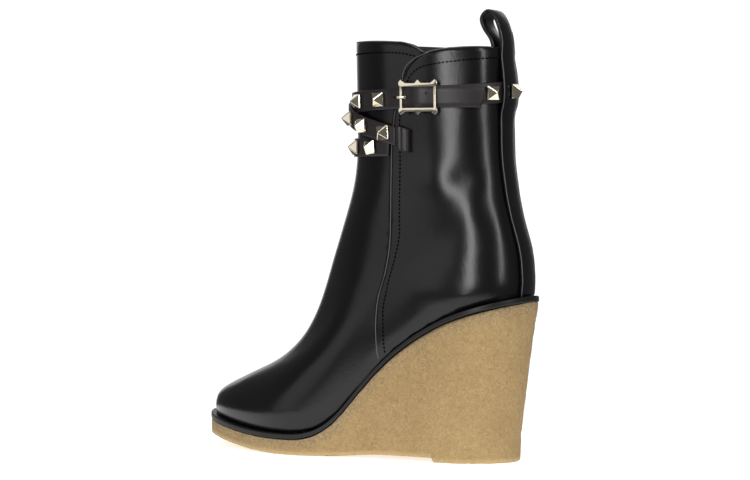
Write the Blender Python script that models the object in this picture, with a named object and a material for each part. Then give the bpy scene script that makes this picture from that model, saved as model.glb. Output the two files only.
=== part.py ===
"""Wedge ankle boot for the left foot, as an assembly of separate pieces.

Metres, +Z up. The toe points along +X, the outer side of the foot is +Y, and the origin is
on the floor under the middle of the heel tread.
"""

import math
from collections import namedtuple

import bmesh
import bpy
from mathutils import Matrix, Vector

for old in list(bpy.data.objects):
    bpy.data.objects.remove(old)

# Driving sizes of the last
FOOT_LENGTH = 0.2175        # upper in plan, back of the heel to the tip of the toe
HEEL_TO_BACK = 0.0263       # middle of the heel tread to the back of the heel
BALL_WIDTH = 0.084          # upper across the ball
HEEL_WIDTH = 0.062          # upper across the heel
TOE_RISE = 0.0217           # floor to the upper's edge at the tip of the toe
BALL_RISE = 0.0134          # floor to the upper's edge under the ball
HEEL_RISE = 0.0992          # floor to the upper's edge at the back of the heel
TOE_SWING = 0.0065          # toe tip turns in from the middle line
WAIST_SWING = 0.0035        # waist lies out from the middle line

# Driving sizes of the shaft
SHAFT_LENGTH = 0.100        # fore and aft at the ankle
SHAFT_WIDTH = 0.066         # side to side at the ankle
SHAFT_TO_BACK = 0.0115      # middle of the heel tread to the back of the ankle
COLLAR_RISE = 0.2472        # floor to the collar at the back
COLLAR_FRONT = 0.0053       # collar stands this much higher in front
COLLAR_NOTCH = 0.0085       # depth of the notch where the panels meet, below the front edge

# Walls, gaps and edges
LEATHER = 0.0018            # wall of the upper
QUARTER_STEP = 0.0011       # rear panel lies this much over the front panel
GAP = 0.0004                # clearance between curved pieces
SEAT_GAP = 0.0003           # clearance between stacked sole layers
UPPER_GAP = 0.0007         # clearance between the upper's lower edge and the midsole
INSOLE = 0.0026
INSOLE_LIFT = 0.0006       # clearance over the midsole where the seat bends
INSOLE_CLEARANCE = 0.0009
MIDSOLE = 0.0034
WELT_REACH = 0.0034         # midsole stands out past the upper
HEEL_REACH = 0.0064         # and past it and the pull strip at the back of the heel
HEEL_SHARE = 0.30           # share of the length over which that narrows
CREPE_SETBACK = 0.0004      # crepe edge lies inside the midsole edge

# Wedge
HEEL_RAKE = 0.0108          # back of the wedge runs forward this much on its way down
HEEL_TUCK = 0.10            # share of its width that the wedge loses at the tread
TREAD_LENGTH = 0.0385       # heel tread, fore and aft
LIFT_STEP = 0.0026          # heel tread stands down from the waist
BALL_CONTACT_BACK = 0.088   # rear end of the forefoot's flat, ahead of the origin
BALL_CONTACT_FRONT = 0.116
TOE_SPRING = 0.0095         # floor to the bottom of the sole at the tip
STEP_RUN = 0.0008

# Straps
STRAP = 0.0018              # thickness
BELT_WIDTH = 0.0124
BELT_RISE = 0.2215          # floor to the belt's middle at the back
BELT_DROP = 0.0063          # belt lies this much lower in front
BELT_FALL = 0.45            # power with which it drops, quickest near the back
TAIL_LENGTH = 0.0304        # belt's free end, past the middle of the buckle
TAIL_SLANT = 0.0032         # the upper corner of that end lies this much further back
BAND_WIDTH = 0.0112
LIFT_RUN = 0.0095           # belt climbs over its own end within this much of the buckle
CROSS_DROP = 0.0022         # middle of the cross band below the belt's, in front
CROSS_FALL = 0.0188         # it drops this much more on the outer side
LOWER_DROP = 0.0274         # middle of the lower band below the belt's, in front
LOOP_WIDTH = 0.0160
LOOP_RISE = 0.0228          # top of the pull loop over the collar
LOOP_REACH = 0.0125         # loop fore and aft
LOOP_GAP = 0.0008           # clearance of its inner end from the lining

# Buckle, studs and zip
BUCKLE_LENGTH = 0.0250
BUCKLE_HEIGHT = 0.0166
BUCKLE_BAR = 0.0019         # long bars
BUCKLE_SIDE = 0.0014        # short bars
BUCKLE_INSET = 0.0007       # short bars stand back from the ends of the long ones
BUCKLE_THICK = 0.0020
BUCKLE_SPOT = 0.0275        # middle of the buckle, ahead of the origin
STUD = 0.0086               # side of a stud's square base
STUD_RISE = 0.0056
STUD_EDGE = 0.0008
PRONG = 0.0016
ZIP_WIDTH = 0.0060
ZIP_THICK = 0.0008
ZIP_FOOT = 0.1080           # floor to the lower end of the zip
ZIP_HEAD = 0.15             # levels below the collar where the zip ends
SLIDER_OVER_BELT = 0.0145   # middle of the slider over the belt's middle at the back
SLIDER_LENGTH = 0.0085
SLIDER_WIDTH = 0.0066
SLIDER_THICK = 0.0018
EAR_LENGTH = 0.0032         # ears that hold the pull between them
EAR_WIDTH = 0.0012
EAR_RISE = 0.0018
EAR_SLOPE = 0.0002          # their inner faces lean out by this much
PULL_LENGTH = 0.0115
PULL_WIDTH = 0.0074
PULL_THICK = 0.0012
PULL_LIFT = 0.0011          # its hinge line over the slider's face

# Ends of the bands
FOLD_LENGTH = 0.0082       # folded end of the cross band
FOLD_HEIGHT = 0.0140
FOLD_DROP = 0.0005
FOLD_THICK = 0.0030
CROSS_LAP = 0.0045          # cross band runs this far past the outer seam
CLIMB_FROM = 0.13           # shares of its way to the front where it starts to climb over
CLIMB_TO = 0.48             # the belt, and where it lies on it
BELT_JOIN = 0.77            # share of the inner side after which it lies along the belt
WAIST_RUN = 0.030           # the waist comes down to the ball over this length

# Places of the studs
STUD_CLEAR = 0.0018         # stud in front of the buckle, past where the belt has come down
STUD_PITCH = 0.0209         # to the next one along the belt
INNER_STUD = 0.875          # share of the way round of the belt's stud on the inner side
CROSS_STUDS = (0.061, 0.186, 0.318, 0.724, 0.863)       # shares of the band's run
LOWER_STUDS = (0.116, 0.286, 0.526, 0.767, 0.957)

# Mesh counts and spacing
REAR_COLUMNS = 11
FRONT_COLUMNS = 13
BELT_COLUMNS = 50
TAIL_COLUMNS = 9
LIFT_COLUMNS = 3
LOWER_COLUMNS = 22
CROSS_COLUMNS = 26
FOLD_COLUMNS = 4
STRIP_ROWS = 15
HOLE_CORNERS = 10
LEVEL_STEPS = 2
COLUMN_SPACE = 0.010        # least space between columns, as a share of the way round
LOOP_START = 0.10           # levels below the collar where the strip leaves the shaft
LOOP_END = 0.45             # and where its inner end stops
BUMP_RAMP = 0.35            # levels over which the strip climbs over the belt
BUCKLE_BOW = 5.0           # half the curve of the shaft's outer side, per metre

# Pull loop over the collar: shares of its reach ahead of the outer leg, shares of its rise
LOOP_SHAPE = ((0.06, 0.30), (0.36, 0.76), (0.78, 1.00), (1.16, 0.80), (0.98, 0.52), (0.60, 0.24))

# Buckle's lower edge: half lengths and bars across, half heights and bars up
BUCKLE_EDGE = (
    (1, 0.00, -1, 0.90), (1, 0.10, -1, -0.25), (1, -0.60, -1, -1.15), (1, -2.20, -1, 0.00),
    (0, 1.05, -1, 0.00), (0, 0.00, -1, -1.10), (0, -1.05, -1, 0.00),
    (-1, 2.20, -1, 0.00), (-1, 0.60, -1, -1.15), (-1, -0.10, -1, -0.25), (-1, 0.00, -1, 0.90),
)

# Buckle's prong: share of the buckle's half length, share of the bar's height climbed
PRONG_LINE = ((0.60, 0.0), (0.68, 0.25), (0.75, 0.85), (0.80, 1.0), (0.95, 1.0), (1.0, 0.8))

# Zip pull: shares of its half width and of its length below the hinge line
PULL_EDGE = (
    (0.38, -0.06), (0.38, 0.20), (0.80, 0.36), (1.00, 0.55), (1.00, 0.75), (0.72, 0.93), (0.25, 1.0),
)
PULL_HOLE = (0.50, 0.64, 0.20)      # half width, middle below the hinge line, half length

MERGE = 0.00001             # corners closer than this are one
UNDER_BELT = QUARTER_STEP + GAP
CROSS_RISE = BELT_RISE - BELT_DROP - CROSS_DROP
LOWER_RISE = BELT_RISE - BELT_DROP - LOWER_DROP
SLIDER_RISE = BELT_RISE + SLIDER_OVER_BELT
HEEL_BACK = -HEEL_TO_BACK
SHAFT_BACK = -SHAFT_TO_BACK

# Sections of the upper, from its lower edge to the ankle. Places are shares of the foot's
# length, heights are shares of the rise from the lower edge to the collar, widths are shares
# of the named widths, and sole says how much of the sole's curve the section still follows.
Level = namedtuple("Level", "front_x front_z back_x back_z heel waist ball toe heel_cap toe_cap sole")
FOOT_LEVELS = (
    Level(1.000, 0.000, 0.004, 0.000, 0.93, 0.67, 0.93, 0.72, 0.15, 0.17, 1.00),
    Level(0.997, 0.029, 0.002, 0.048, 1.00, 0.71, 1.00, 0.78, 0.15, 0.17, 0.97),
    Level(0.984, 0.055, 0.003, 0.095, 1.01, 0.73, 1.00, 0.76, 0.15, 0.18, 0.92),
    Level(0.937, 0.080, 0.006, 0.148, 1.01, 0.745, 0.96, 0.70, 0.16, 0.20, 0.82),
    Level(0.850, 0.116, 0.014, 0.208, 1.01, 0.75, 0.88, 0.62, 0.17, 0.23, 0.66),
    Level(0.767, 0.152, 0.029, 0.272, 1.00, 0.755, 0.80, 0.58, 0.18, 0.27, 0.50),
    Level(0.691, 0.215, 0.041, 0.336, 0.98, 0.76, 0.75, 0.58, 0.20, 0.32, 0.35),
    Level(0.638, 0.306, 0.052, 0.410, 0.96, 0.765, 0.73, 0.60, 0.23, 0.36, 0.21),
    Level(0.601, 0.414, 0.059, 0.483, 0.95, 0.765, 0.73, 0.62, 0.27, 0.39, 0.10),
)

# Sections of the shaft: places and widths are shares of the shaft's own length and width
SHAFT_LEVELS = (
    Level(1.075, 0.518, -0.007, 0.543, 0.90, 0.96, 0.95, 0.86, 0.32, 0.42, 0.03),
    Level(1.001, 0.628, -0.002, 0.604, 0.90, 0.95, 0.94, 0.86, 0.36, 0.44, 0.00),
    Level(0.981, 0.728, 0.001, 0.675, 0.91, 0.96, 0.95, 0.88, 0.38, 0.44, 0.00),
    Level(0.985, 0.828, 0.002, 0.790, 0.92, 0.99, 0.98, 0.90, 0.38, 0.44, 0.00),
    Level(0.995, 1.000, 0.005, 1.000, 0.95, 1.03, 1.03, 0.93, 0.38, 0.44, 0.00),
)

# Stations along a section where the four widths apply, as shares of its length
WIDTH_STATIONS = (0.0, 0.12, 0.42, 0.68, 0.90, 1.0)

# Side line of the upper's lower edge: share of the length, share of the rise above the ball
HEEL_SEAT = (
    (0.000, 1.000), (0.087, 0.940), (0.170, 0.866), (0.256, 0.755), (0.340, 0.606),
    (0.4225, 0.405), (0.478, 0.222), (0.525, 0.080), (0.572, 0.014), (0.630, 0.000),
)
TOE_LINE = ((0.630, 0.000), (0.742, 0.090), (0.860, 0.400), (1.000, 1.000))

# Front edge of the rear panel: share of the collar's height, share of the foot's length
SEAM = (
    (0.20, 0.378), (0.33, 0.384), (0.395, 0.378), (0.437, 0.361), (0.55, 0.343), (0.66, 0.345),
    (0.75, 0.345), (0.86, 0.329), (0.935, 0.308), (0.957, 0.296), (0.976, 0.268), (0.985, 0.243),
)

# Collar line between the back and the front: share of the shaft's length, share of the notch
COLLAR_LINE = (
    (-0.012, 0.44), (0.20, 0.36), (0.34, 0.12), (0.37, 0.00), (0.385, 0.03), (0.40, 0.21),
    (0.44, 0.52), (0.54, 0.78), (0.76, 0.92), (1.0, 1.00),
)

# Rows of the wedge's wall: share of the way down, share of the rake and tuck reached
WEDGE_ROWS = ((0.0, 0.0), (0.22, 0.30), (0.45, 0.56), (0.68, 0.80), (0.86, 0.97), (1.0, 1.0))


def smooth(table, x):
    """Value of a smooth curve through the table's points, straight on past its ends."""
    if x <= table[0][0]:
        (x0, y0), (x1, y1) = table[0], table[1]
        return y0 + (y1 - y0) * (x - x0) / (x1 - x0)
    if x >= table[-1][0]:
        (x0, y0), (x1, y1) = table[-2], table[-1]
        return y1 + (y1 - y0) * (x - x1) / (x1 - x0)
    i = max(k for k in range(len(table) - 1) if table[k][0] <= x)
    (x0, y0), (x1, y1) = table[i], table[i + 1]
    slope = (y1 - y0) / (x1 - x0)
    before = slope if i == 0 else (y0 - table[i - 1][1]) / (x0 - table[i - 1][0])
    after = slope if i + 2 == len(table) else (table[i + 2][1] - y1) / (table[i + 2][0] - x1)
    m0 = calm(before, slope)
    m1 = calm(slope, after)
    t = (x - x0) / (x1 - x0)
    h = x1 - x0
    return (
        y0 * (1 + 2 * t) * (1 - t) ** 2
        + y1 * t * t * (3 - 2 * t)
        + h * m0 * t * (1 - t) ** 2
        - h * m1 * t * t * (1 - t)
    )


def calm(a, b):
    """Slope at a point that has the slopes a and b on its two sides, without overshoot."""
    return 0.0 if a * b <= 0 else 2 * a * b / (a + b)


def ease(t):
    t = min(1.0, max(0.0, t))
    return t * t * (3 - 2 * t)


def mix(a, b, t):
    return a + (b - a) * t


def seat_height(x):
    """Height of the upper's lower edge over the floor at a place along the foot."""
    share = (x - HEEL_BACK) / FOOT_LENGTH
    if share < HEEL_SEAT[-1][0]:
        return BALL_RISE + (HEEL_RISE - BALL_RISE) * smooth(HEEL_SEAT, share)
    return BALL_RISE + (TOE_RISE - BALL_RISE) * smooth(TOE_LINE, share)


def middle_line(x):
    """Sideways place of the foot's middle line: out at the waist, in at the toe."""
    share = (x - HEEL_BACK) / FOOT_LENGTH
    waist = WAIST_SWING * math.sin(math.pi * min(1.0, max(0.0, share)))
    toe = TOE_SWING * max(0.0, (share - 0.45) / 0.55) ** 2
    return waist - toe


def real_level(row, on_shaft):
    """A row of the section tables in metres."""
    if on_shaft:
        back = SHAFT_BACK + row.back_x * SHAFT_LENGTH
        front = SHAFT_BACK + row.front_x * SHAFT_LENGTH
        wide = narrow = SHAFT_WIDTH / 2
    else:
        back = HEEL_BACK + row.back_x * FOOT_LENGTH
        front = HEEL_BACK + row.front_x * FOOT_LENGTH
        wide = BALL_WIDTH / 2
        narrow = HEEL_WIDTH / 2
    return Level(
        front, mix(TOE_RISE, COLLAR_RISE + COLLAR_FRONT, row.front_z),
        back, mix(HEEL_RISE, COLLAR_RISE, row.back_z),
        row.heel * narrow, row.waist * wide, row.ball * wide, row.toe * wide,
        row.heel_cap, row.toe_cap, row.sole,
    )


LEVELS = [real_level(row, False) for row in FOOT_LEVELS]
LEVELS += [real_level(row, True) for row in SHAFT_LEVELS]
TOP = len(LEVELS) - 1


def level_at(v):
    """Section sizes at level v, from 0 at the lower edge to TOP at the collar."""
    v = min(float(TOP), max(0.0, v))
    i = min(TOP - 1, int(v))
    t = v - i
    rows = [LEVELS[max(0, min(TOP, k))] for k in (i - 1, i, i + 1, i + 2)]
    out = []
    for p0, p1, p2, p3 in zip(*rows):
        a = 2 * p1
        b = p2 - p0
        c = 2 * p0 - 5 * p1 + 4 * p2 - p3
        d = 3 * p1 - p0 - 3 * p2 + p3
        out.append(0.5 * (a + b * t + c * t * t + d * t ** 3))
    return Level(*out)


def half_width(level, t):
    """Half the section's width at the share t of its length, with round ends."""
    widths = (level.heel, level.heel, level.waist, level.ball, level.toe, 0.96 * level.toe)
    width = smooth(tuple(zip(WIDTH_STATIONS, widths)), t)
    if t < level.heel_cap:
        width *= math.sqrt(max(0.0, 1 - (1 - t / level.heel_cap) ** 2))
    if t > 1 - level.toe_cap:
        q = (t - 1 + level.toe_cap) / level.toe_cap
        width *= max(0.0, 1 - q ** 2.15) ** (1 / 2.15)
    return width


def round_share(a):
    """Share of a section's length at the share a of the way round it."""
    return (1 - math.cos(2 * math.pi * a)) / 2


def skin(a, v):
    """Point on the front panel's outer face: a goes round from the back by the outer side."""
    level = level_at(v)
    t = round_share(a)
    x = mix(level.back_x, level.front_x, t)
    dip = seat_height(x) - mix(seat_height(level.back_x), seat_height(level.front_x), t)
    z = mix(level.back_z, level.front_z, t) + level.sole * dip
    brim = max(0.0, v - TOP + 1) ** 1.5
    line = smooth(COLLAR_LINE, (x - SHAFT_BACK) / SHAFT_LENGTH)
    collar = COLLAR_RISE + COLLAR_FRONT - COLLAR_NOTCH * (1 - line)
    z += brim * (collar - mix(COLLAR_RISE, COLLAR_RISE + COLLAR_FRONT, t))
    side = 1 if a % 1.0 < 0.5 else -1
    y = level.sole * middle_line(x) + side * half_width(level, t)
    return Vector((x, y, z))


def skin_slopes(a, v):
    """How the skin runs round the section and up the boot, per unit of a and of v."""
    da, dv = 0.002, 0.02
    low, high = max(0.0, v - dv), min(float(TOP), v + dv)
    along = (skin(a + da, v) - skin(a - da, v)) / (2 * da)
    up = (skin(a, high) - skin(a, low)) / (high - low)
    return along, up


def raised(a, v, height):
    """Point at a height over the skin, square to it."""
    along, up = skin_slopes(a, v)
    return skin(a, v) + height * up.cross(along).normalized()


def level_for(a, z):
    """Level at which the skin reaches the height z, at the share a of the way round."""
    low, high = 0.0, float(TOP)
    for _ in range(30):
        v = (low + high) / 2
        if skin(a, v).z < z:
            low = v
        else:
            high = v
    return (low + high) / 2


def share_at(x, v):
    """Share a on the outer side at which the section at level v passes the place x."""
    level = level_at(v)
    t = min(1.0, max(0.0, (x - level.back_x) / (level.front_x - level.back_x)))
    return math.acos(1 - 2 * t) / (2 * math.pi)


def seam_share(v):
    """Share a of the rear panel's front edge at level v."""
    low, high = 0.05, 0.45
    for _ in range(30):
        a = (low + high) / 2
        point = skin(a, v)
        edge = HEEL_BACK + FOOT_LENGTH * smooth(SEAM, point.z / COLLAR_RISE)
        if point.x < edge:
            low = a
        else:
            high = a
    return (low + high) / 2


def seam_over(z):
    """Share a of that edge on the outer side at the height z."""
    a = 0.25
    for _ in range(5):
        a = seam_share(level_for(a, z))
    return a


def half_shares(seam):
    """Shares from the back to the front by the outer side, with one on the seam."""
    rear = [seam * k / REAR_COLUMNS for k in range(REAR_COLUMNS + 1)]
    front = [mix(seam, 0.5, k / FRONT_COLUMNS) for k in range(1, FRONT_COLUMNS + 1)]
    return rear + front


def add_object(name, bm, material, place=None):
    """Makes an object of the mesh, with its faces pointing out, in the boot's collection."""
    bmesh.ops.recalc_face_normals(bm, faces=bm.faces)
    mesh = bpy.data.meshes.new(name)
    bm.to_mesh(mesh)
    bm.free()
    mesh.materials.append(material)
    mesh.shade_smooth()
    mesh.set_sharp_from_angle(angle=math.radians(35))
    obj = bpy.data.objects.new(name, mesh)
    if place is not None:
        obj.matrix_world = place
    boot.objects.link(obj)
    return obj


def make_material(name, colour, roughness, metallic=0.0):
    material = bpy.data.materials.new(name)
    material.use_nodes = True
    shader = material.node_tree.nodes["Principled BSDF"]
    shader.inputs["Base Color"].default_value = (*colour, 1)
    shader.inputs["Roughness"].default_value = roughness
    shader.inputs["Metallic"].default_value = metallic
    material.diffuse_color = (*colour, 1)
    return material


def bridge(bm, first, second):
    """Faces between two closed rings of vertices of equal length."""
    count = len(first)
    for k in range(count):
        j = (k + 1) % count
        bm.faces.new((first[k], first[j], second[j], second[k]))


def loft(rings):
    """Solid through closed rings of points, capped at its two ends."""
    bm = bmesh.new()
    rows = [[bm.verts.new(point) for point in ring] for ring in rings]
    for first, second in zip(rows, rows[1:]):
        bridge(bm, first, second)
    bm.faces.new(rows[0])
    bm.faces.new(rows[-1])
    return bm


def ladder(bm, row):
    """Closes a ring that runs round from the back with rungs from side to side."""
    count = len(row)
    half = count // 2
    bm.faces.new((row[0], row[1], row[-1]))
    for k in range(1, half - 1):
        bm.faces.new((row[k], row[k + 1], row[-k - 1], row[-k]))
    bm.faces.new((row[half - 1], row[half], row[half + 1]))


def slab(rings):
    """Solid through rings that run round the foot, closed top and bottom with rungs."""
    bm = bmesh.new()
    rows = [[bm.verts.new(point) for point in ring] for ring in rings]
    for first, second in zip(rows, rows[1:]):
        bridge(bm, first, second)
    ladder(bm, rows[0])
    ladder(bm, rows[-1])
    return bm


def edge_point(a, reach):
    """Point of the upper's lower edge, moved out in plan by the reach."""
    along, _ = skin_slopes(a, 0.0)
    point = skin(a, 0.0)
    out = Vector((-along.y, along.x, 0)).normalized()
    return point + reach * out


def welt_point(a, setback=0.0):
    """Point of the midsole's edge, which reaches out further round the heel."""
    rear = 1 - ease(round_share(a) / HEEL_SHARE)
    return edge_point(a, mix(WELT_REACH, HEEL_REACH, rear) - setback)


def both_sides(shares):
    """The shares of one side, followed by those of the other on the way back to the heel."""
    return shares + [1 - a for a in reversed(shares[1:-1])]


# Upper: one hollow shell, open at the collar and underneath
def make_upper():
    bm = bmesh.new()
    outer, inner = [], []
    for row in range(TOP * LEVEL_STEPS + 1):
        v = row / LEVEL_STEPS
        seam = seam_share(v)
        run = skin_slopes(seam, v)[0].length
        shares = half_shares(seam)
        side = [(a, QUARTER_STEP) for a in shares[:REAR_COLUMNS + 1]]
        side += [(seam + STEP_RUN / run, 0.0)]
        side += [(a, 0.0) for a in shares[REAR_COLUMNS + 1:]]
        ring = side + [(1 - a, step) for a, step in reversed(side[1:-1])]
        outside = [raised(a, v, step) for a, step in ring]
        inside = [raised(a, v, -LEATHER) for a, step in ring]
        if row == 0:
            for point in outside + inside:
                point.z = seat_height(point.x)
        outer.append([bm.verts.new(point) for point in outside])
        inner.append([bm.verts.new(point) for point in inside])
    for skin_rows in (outer, inner):
        for first, second in zip(skin_rows, skin_rows[1:]):
            bridge(bm, first, second)
    bridge(bm, outer[0], inner[0])
    bridge(bm, outer[-1], inner[-1])
    return add_object("upper", bm, calf)


# Midsole and insole: thin layers that follow the upper's lower edge
def make_midsole():
    shares = both_sides(half_shares(seam_share(0.0)))
    rings = []
    for drop in (0.0, MIDSOLE):
        ring = [welt_point(a) for a in shares]
        for point in ring:
            point.z = seat_height(point.x) - UPPER_GAP - drop
        rings.append(ring)
    return add_object("midsole", slab(rings), welt_rubber)


def make_insole():
    shares = both_sides(half_shares(seam_share(0.0)))
    rings = []
    for rise in (INSOLE_LIFT, INSOLE_LIFT + INSOLE):
        ring = [edge_point(a, -LEATHER - INSOLE_CLEARANCE) for a in shares]
        for point in ring:
            point.z = seat_height(point.x) + rise
        rings.append(ring)
    return add_object("insole", slab(rings), lining)


# Wedge sole: one block of crepe with the platform, waist, heel and toe spring
def ground_height(x):
    """Height of the sole's underside over the floor."""
    if x <= TREAD_LENGTH / 2:
        return 0.0
    if x < BALL_CONTACT_BACK:
        return LIFT_STEP * (1 - ease((x - BALL_CONTACT_BACK + WAIST_RUN) / WAIST_RUN))
    tip = HEEL_BACK + FOOT_LENGTH + WELT_REACH
    return TOE_SPRING * max(0.0, (x - BALL_CONTACT_FRONT) / (tip - BALL_CONTACT_FRONT)) ** 1.6


def wedge_point(a, down, reached):
    """Point of the wedge's wall: down its height, with so much of the rake and tuck."""
    top = welt_point(a, CREPE_SETBACK)
    t = round_share(a)
    foot = top.copy()
    foot.x += HEEL_RAKE * (1 - t) ** 2
    centre = middle_line(top.x)
    foot.y = centre + (top.y - centre) * (1 - HEEL_TUCK * (1 - ease(t / 0.5)))
    point = top.lerp(foot, reached)
    upper_face = seat_height(top.x) - UPPER_GAP - MIDSOLE - SEAT_GAP
    point.z = mix(upper_face, ground_height(foot.x), down)
    return point


def share_on_ground(x):
    """Share a at which the wedge's lower edge passes the place x."""
    low, high = 0.0, 0.5
    for _ in range(40):
        a = (low + high) / 2
        if wedge_point(a, 1.0, 1.0).x < x:
            low = a
        else:
            high = a
    return (low + high) / 2


def make_sole():
    marks = (
        TREAD_LENGTH / 2, TREAD_LENGTH / 2 + STEP_RUN, BALL_CONTACT_BACK, BALL_CONTACT_FRONT,
    )
    shares = half_shares(seam_share(0.0))
    for x in marks:
        share = share_on_ground(x)
        shares = [a for a in shares if abs(a - share) > COLUMN_SPACE or a in (0.0, 0.5)]
    shares = sorted(shares + [share_on_ground(x) for x in marks])
    around = both_sides(shares)
    rings = [[wedge_point(a, down, reached) for a in around] for down, reached in WEDGE_ROWS]
    return add_object("wedge_sole", slab(rings), crepe)


# Straps that hug the shaft
def strap_ring(a, middle, width, offset, thick, slant=0.0):
    """Cross-section of a strap at the share a; its upper edge may lie behind its lower one."""
    low = level_for(a, middle - width / 2)
    high = level_for(a - slant, middle + width / 2)
    return [
        raised(a, low, offset), raised(a - slant, high, offset),
        raised(a - slant, high, offset + thick), raised(a, low, offset + thick),
    ]


def belt_middle(a):
    """Height of the belt's middle at the share a."""
    return BELT_RISE - BELT_DROP * round_share(a) ** BELT_FALL


def share_over(x, z):
    """Share a on the outer side at which the shaft at the height z passes the place x."""
    a = 0.25
    for _ in range(6):
        a = share_at(x, level_for(a, z))
    return a


def run_at(a, z):
    """Distance round the shaft for each unit of a."""
    return skin_slopes(a, level_for(a, z))[0].length


def belt_marks():
    """Shares of the buckle's middle, the free end, and where the belt starts and ends its lift."""
    start = share_over(BUCKLE_SPOT, BELT_RISE)
    run = run_at(start, BELT_RISE)
    tail = start - TAIL_LENGTH / run_at(start / 2, BELT_RISE)
    lift_to = start + BUCKLE_LENGTH / 2 / run
    return start, tail, lift_to + LIFT_RUN / run, lift_to


def belt_studs():
    """Shares of the belt's studs: on the pull strip, behind the free end, in front, inside."""
    _, tail, lift_from, _ = belt_marks()
    behind = tail - (STUD / 2 + TAIL_SLANT) / run_at(tail, BELT_RISE)
    run = run_at(lift_from, BELT_RISE)
    beside = lift_from + (STUD / 2 + STUD_CLEAR) / run
    return 0.0, behind, beside, beside + STUD_PITCH / run, INNER_STUD


def make_belt():
    """One turn round the ankle from under the buckle, then a free end over its own start."""
    start, tail, lift_from, lift_to = belt_marks()
    run = run_at(start, BELT_RISE)
    turn = [start - k / BELT_COLUMNS for k in range(BELT_COLUMNS)]
    turn = [a for a in turn if a + 1 > lift_from]
    rings = [strap_ring(a, belt_middle(a), BELT_WIDTH, UNDER_BELT, STRAP) for a in turn]
    for k in range(LIFT_COLUMNS + 1):
        a = mix(lift_from, lift_to, k / LIFT_COLUMNS)
        offset = UNDER_BELT + ease(k / LIFT_COLUMNS) * (STRAP + GAP)
        rings.append(strap_ring(a, belt_middle(a), BELT_WIDTH, offset, STRAP))
    for k in range(1, TAIL_COLUMNS + 1):
        a = mix(lift_to, tail, k / TAIL_COLUMNS)
        slant = TAIL_SLANT / run * ease(k / TAIL_COLUMNS)
        middle = belt_middle(max(a, start))
        rings.append(strap_ring(a, middle, BELT_WIDTH, UNDER_BELT + STRAP + GAP, STRAP, slant))
    return add_object("ankle_belt", loft(rings), calf)


def cross_ends():
    """Shares at which the cross band starts, past the outer seam, and ends, at the zip."""
    first = seam_over(LOWER_RISE)
    last = 1 - seam_over(BELT_RISE)
    first -= CROSS_LAP / run_at(first, LOWER_RISE)
    last -= (ZIP_WIDTH + 2 * GAP) / run_at(last, BELT_RISE)
    return first, last


def cross_middle(a):
    """Height of the cross band's middle: up from the outer side, then along the belt."""
    first, last = cross_ends()
    if a < 0.5:
        return CROSS_RISE - CROSS_FALL * (0.5 - a) / (0.5 - first)
    return mix(CROSS_RISE, belt_middle(a), ease((a - 0.5) / (last - 0.5) / BELT_JOIN))


def cross_offset(a):
    """Height of the cross band over the skin: over the lower band, then over the belt."""
    first, _ = cross_ends()
    climb = ease(((a - first) / (0.5 - first) - CLIMB_FROM) / (CLIMB_TO - CLIMB_FROM))
    return mix(2 * GAP + STRAP, UNDER_BELT + STRAP + GAP, climb)


def lower_ends():
    """Shares at which the lower band starts, at the outer seam, and ends, at the zip."""
    seam = seam_over(LOWER_RISE)
    run = run_at(seam, LOWER_RISE)
    return seam + (STEP_RUN + GAP) / run, 1 - seam - (ZIP_WIDTH + STEP_RUN + 2 * GAP) / run


def make_lower_band():
    """Short band over the front panel, from the outer seam to the zip."""
    first, last = lower_ends()
    shares = [mix(first, last, k / LOWER_COLUMNS) for k in range(LOWER_COLUMNS + 1)]
    rings = [strap_ring(a, LOWER_RISE, BAND_WIDTH, GAP, STRAP) for a in shares]
    return add_object("lower_band", loft(rings), calf)


def make_cross_band():
    """Band that starts at a fold on the outer side, rises over the belt and runs to the zip."""
    first, last = cross_ends()
    shares = [mix(first, last, k / CROSS_COLUMNS) for k in range(CROSS_COLUMNS + 1)]
    rings = [strap_ring(a, cross_middle(a), BAND_WIDTH, cross_offset(a), STRAP) for a in shares]
    add_object("cross_band", loft(rings), calf)
    run = run_at(first, LOWER_RISE)
    shares = [first - (GAP + FOLD_LENGTH * k / FOLD_COLUMNS) / run for k in range(FOLD_COLUMNS + 1)]
    middle = CROSS_RISE - CROSS_FALL - FOLD_DROP
    rings = [strap_ring(a, middle, FOLD_HEIGHT, UNDER_BELT, FOLD_THICK) for a in shares]
    add_object("band_fold", loft(rings), calf)


# Pull loop: a strip up the back seam that turns over into a loop
def back_share(y, v):
    """Share a near the back at which the section at level v is the distance y off its middle."""
    low, high = 0.0, 0.2
    centre = skin(0.0, v).y
    for _ in range(25):
        a = (low + high) / 2
        if skin(a, v).y - centre < y:
            low = a
        else:
            high = a
    return (low + high) / 2


def strip_ring(v, near, far):
    """Cross-section of the strip at level v, between two heights over the skin."""
    wide = back_share(LOOP_WIDTH / 2, v)
    shares = [wide * k / 2 for k in (-2, -1, 0, 1, 2)]
    return [raised(a % 1.0, v, near) for a in shares] + [
        raised(a % 1.0, v, far) for a in reversed(shares)
    ]


def middle_of(ring):
    return sum(ring, Vector()) / len(ring)


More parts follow.
